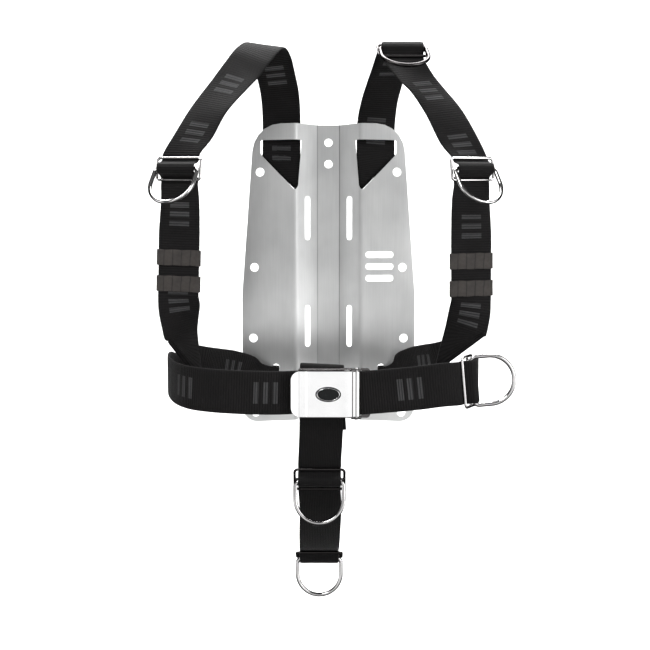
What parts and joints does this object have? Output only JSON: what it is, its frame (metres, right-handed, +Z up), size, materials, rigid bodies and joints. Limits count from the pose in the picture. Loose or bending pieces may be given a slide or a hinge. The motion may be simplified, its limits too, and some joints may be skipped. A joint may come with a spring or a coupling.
{
  "type": "diving harness with backplate",
  "caption": "Bent steel backplate for a diving tank, carried on a webbing harness with slides, D-rings, quick-release waist buckle and crotch strap.",
  "frame": {"origin": "rear face of the plate's centre channel, midway between the two tank bolts", "axes": "+X is the wearer's left, +Y is to the rear, towards the tank, +Z is up"},
  "size_m": [0.4266, 0.2199, 0.7017],
  "materials": {
    "steel": "brushed",
    "chrome": "polished",
    "webbing": "woven matt",
    "rubber": "matt",
    "enamel": "gloss"
  },
  "bodies": {
    "harness": {"backplate": "steel", "neck_webbing": "webbing", "left_shoulder_webbing": "webbing", "right_shoulder_webbing": "webbing", "left_waist_webbing": "webbing", "right_waist_webbing": "webbing", "crotch_strap": "webbing", "left_shoulder_slide": "chrome", "right_shoulder_slide": "chrome", "right_top_slide": "chrome", "hip_slide": "chrome", "front_crotch_slide": "chrome", "rear_crotch_slide": "chrome", "buckle_base": "chrome", "buckle_hinge_pin": "chrome"},
    "left_shoulder_ring": {"left_shoulder_d_ring": "chrome"},
    "right_shoulder_ring": {"right_shoulder_d_ring": "chrome"},
    "right_top_ring": {"right_top_d_ring": "chrome"},
    "hip_ring": {"hip_d_ring": "chrome"},
    "front_crotch_ring": {"front_crotch_d_ring": "chrome"},
    "rear_crotch_ring": {"rear_crotch_d_ring": "chrome"},
    "cover": {"buckle_cover": "chrome", "buckle_badge": "enamel"},
    "left_upper_keeper": {"left_upper_band": "rubber"},
    "left_lower_keeper": {"left_lower_band": "rubber"},
    "right_upper_keeper": {"right_upper_band": "rubber"},
    "right_lower_keeper": {"right_lower_band": "rubber"}
  },
  "joints": [
    {"name": "left_shoulder_ring_swing", "type": "hinge", "parent": "harness", "child": "left_shoulder_ring", "pos_m": [-0.17818, -0.15148, 0.12058], "axis": [-0.9322, 0.3604, 0.0343], "range_deg": [-28, 30]},
    {"name": "right_shoulder_ring_swing", "type": "hinge", "parent": "harness", "child": "right_shoulder_ring", "pos_m": [0.17114, -0.14879, 0.12053], "axis": [-0.9059, -0.4222, -0.0332], "range_deg": [-28, 30]},
    {"name": "right_top_ring_swing", "type": "hinge", "parent": "harness", "child": "right_top_ring", "pos_m": [0.08835, -0.11487, 0.2677], "axis": [-0.9954, -0.0941, -0.0192], "range_deg": [-4, 52]},
    {"name": "hip_ring_swing", "type": "hinge", "parent": "harness", "child": "hip_ring", "pos_m": [0.16463, -0.19229, -0.12545], "axis": [0.0889, -0.0011, -0.996], "range_deg": [-54, 2]},
    {"name": "front_crotch_ring_swing", "type": "hinge", "parent": "harness", "child": "front_crotch_ring", "pos_m": [-0.011, -0.19015, -0.24226], "axis": [-1, 0, 0], "range_deg": [-28, 30]},
    {"name": "rear_crotch_ring_swing", "type": "hinge", "parent": "harness", "child": "rear_crotch_ring", "pos_m": [-0.012, -0.07577, -0.37048], "axis": [-1, 0, 0], "range_deg": [-58, 0]},
    {"name": "buckle_release", "type": "hinge", "parent": "harness", "child": "cover", "pos_m": [0.031, -0.2094, -0.1375], "axis": [0, 0, 1], "range_deg": [0, 100]},
    {"name": "left_upper_band_slide", "type": "slide", "parent": "harness", "child": "left_upper_keeper", "axis": [0.03, -0.0147, 0.9994], "range_m": [-0.005, 0.0065]},
    {"name": "left_lower_band_slide", "type": "slide", "parent": "harness", "child": "left_lower_keeper", "axis": [0.03, -0.0147, 0.9994], "range_m": [-0.003, 0.005]},
    {"name": "right_upper_band_slide", "type": "slide", "parent": "harness", "child": "right_upper_keeper", "axis": [-0.0145, -0.029, 0.9995], "range_m": [-0.006, 0.014]},
    {"name": "right_lower_band_slide", "type": "slide", "parent": "harness", "child": "right_lower_keeper", "axis": [-0.0145, -0.029, 0.9995], "range_m": [-0.0025, 0.005]}
  ]
}
